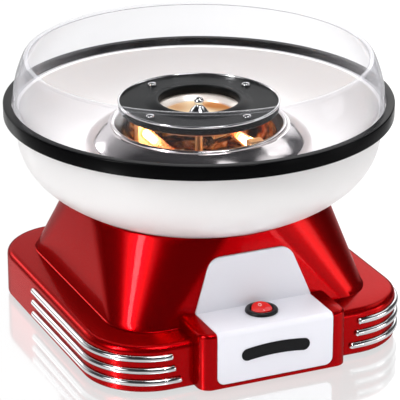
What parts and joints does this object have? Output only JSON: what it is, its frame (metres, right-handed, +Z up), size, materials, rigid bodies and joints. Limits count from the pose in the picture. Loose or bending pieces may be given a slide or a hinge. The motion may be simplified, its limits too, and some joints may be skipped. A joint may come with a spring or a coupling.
{
  "type": "cotton candy machine",
  "caption": "Electric countertop cotton candy machine: square housing, rocker switch, lift-off bowl with collar and clear guard, and a spinning heated head on a motor shaft.",
  "frame": {"origin": "on the surface that the feet rest on, below the spinning axle, which is also the centre of the bounding box's underside", "axes": "+Z up along the axle, -Y towards the front with the white control panel, +X to the right as seen from the front"},
  "size_m": [0.29, 0.29, 0.2086],
  "materials": {
    "metallic_red_plastic": "candy-apple metallic red lacquer on moulded plastic",
    "white_panel_plastic": "smooth gloss white",
    "white_bowl_plastic": "glossy off-white",
    "satin_black_rim": "satin black",
    "black_plastic": "fine satin black",
    "clear_guard_plastic": "clear polished moulding",
    "red_switch_plastic": "translucent red rocker",
    "chrome_trim": "bright chrome",
    "polished_aluminium": "spun and polished",
    "zinc_steel": "zinc-plated",
    "black_head_plate": "fine satin black enamel",
    "glowing_quartz": "quartz tube, glowing",
    "heater_ceramic": "unglazed steatite",
    "white_rubber": "soft white rubber"
  },
  "bodies": {
    "base": {"plinth_shell": "metallic_red_plastic", "tower_shell": "metallic_red_plastic", "control_box": "metallic_red_plastic", "bottom_cover": "black_plastic", "foot_1": "white_rubber", "foot_2": "white_rubber", "foot_3": "white_rubber", "foot_4": "white_rubber", "cover_screw_1": "zinc_steel", "cover_screw_2": "zinc_steel", "cover_screw_3": "zinc_steel", "cover_screw_4": "zinc_steel", "control_panel": "white_panel_plastic", "switch_housing": "black_plastic", "trim_right_1": "chrome_trim", "trim_right_2": "chrome_trim", "trim_right_3": "chrome_trim", "trim_left_1": "chrome_trim", "trim_left_2": "chrome_trim", "trim_left_3": "chrome_trim", "cord_gland": "black_plastic", "motor": "zinc_steel", "motor_bracket": "zinc_steel", "motor_screw_1": "zinc_steel", "motor_screw_2": "zinc_steel", "heater_can": "zinc_steel", "reflector_dish": "polished_aluminium", "heater_tube_left": "glowing_quartz", "heater_tube_right": "glowing_quartz", "tube_holder_left_back": "heater_ceramic", "tube_holder_left_front": "heater_ceramic", "tube_holder_right_back": "heater_ceramic", "tube_holder_right_front": "heater_ceramic"},
    "rocker": {"switch_rocker": "red_switch_plastic"},
    "spindle": {"motor_shaft": "zinc_steel", "drive_pin": "zinc_steel"},
    "head": {"head_pan": "polished_aluminium", "head_band": "zinc_steel", "head_plate": "black_head_plate", "head_ring": "chrome_trim", "head_knob": "chrome_trim", "head_screw_1": "chrome_trim", "head_screw_2": "chrome_trim", "head_screw_3": "chrome_trim", "head_screw_4": "chrome_trim"},
    "bowl": {"bowl_shell": "white_bowl_plastic", "rim_ring": "satin_black_rim", "heat_collar": "polished_aluminium"},
    "guard": {"floss_guard": "clear_guard_plastic"}
  },
  "joints": [
    {"name": "switch_rock", "type": "hinge", "parent": "base", "child": "rocker", "pos_m": [0, -0.1115, 0.0464], "axis": [1, 0, 0], "range_deg": [-20, 0]},
    {"name": "spindle_spin", "type": "hinge", "parent": "base", "child": "spindle", "pos_m": [0, 0, 0.12], "axis": [0, 0, 1], "continuous": true},
    {"name": "head_lift", "type": "slide", "parent": "spindle", "child": "head", "axis": [0, 0, 1], "range_m": [0, 0.06]},
    {"name": "bowl_lift", "type": "slide", "parent": "base", "child": "bowl", "axis": [0, 0, 1], "range_m": [0, 0.12]},
    {"name": "guard_lift", "type": "slide", "parent": "bowl", "child": "guard", "axis": [0, 0, 1], "range_m": [0, 0.06]}
  ]
}
